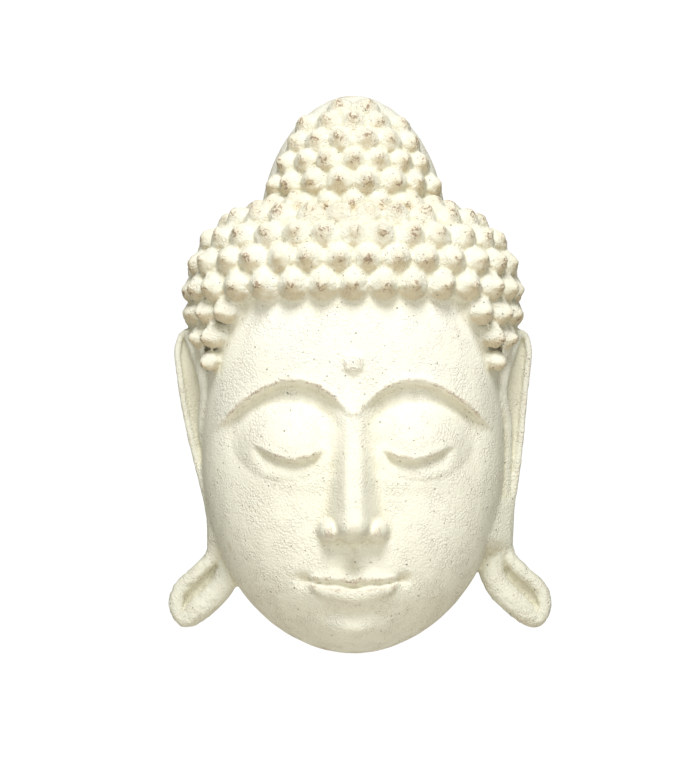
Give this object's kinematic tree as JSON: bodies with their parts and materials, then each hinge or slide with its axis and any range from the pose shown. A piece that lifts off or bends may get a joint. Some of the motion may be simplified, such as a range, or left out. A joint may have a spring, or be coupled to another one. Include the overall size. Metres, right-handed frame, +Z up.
{
  "type": "buddha face wall mask",
  "caption": "Wall mask of a calm face with curled hair, a topknot and long slotted ear lobes, cast hollow behind and hung flat on a wall.",
  "frame": {"origin": "on the flat back rim that bears on the wall, at the middle of the width, behind the crown between the nail pocket and the hollow", "axes": "+Z up, -Y the way the face looks, +Y into the wall, +X towards the mask's left ear"},
  "size_m": [0.2741, 0.1193, 0.3998],
  "materials": {
    "whitewashed_cast": "chalky whitewash over a brown ground, rubbed through on the high points, matt"
  },
  "bodies": {
    "root": {"buddha_mask": "whitewashed_cast"}
  },
  "joints": []
}
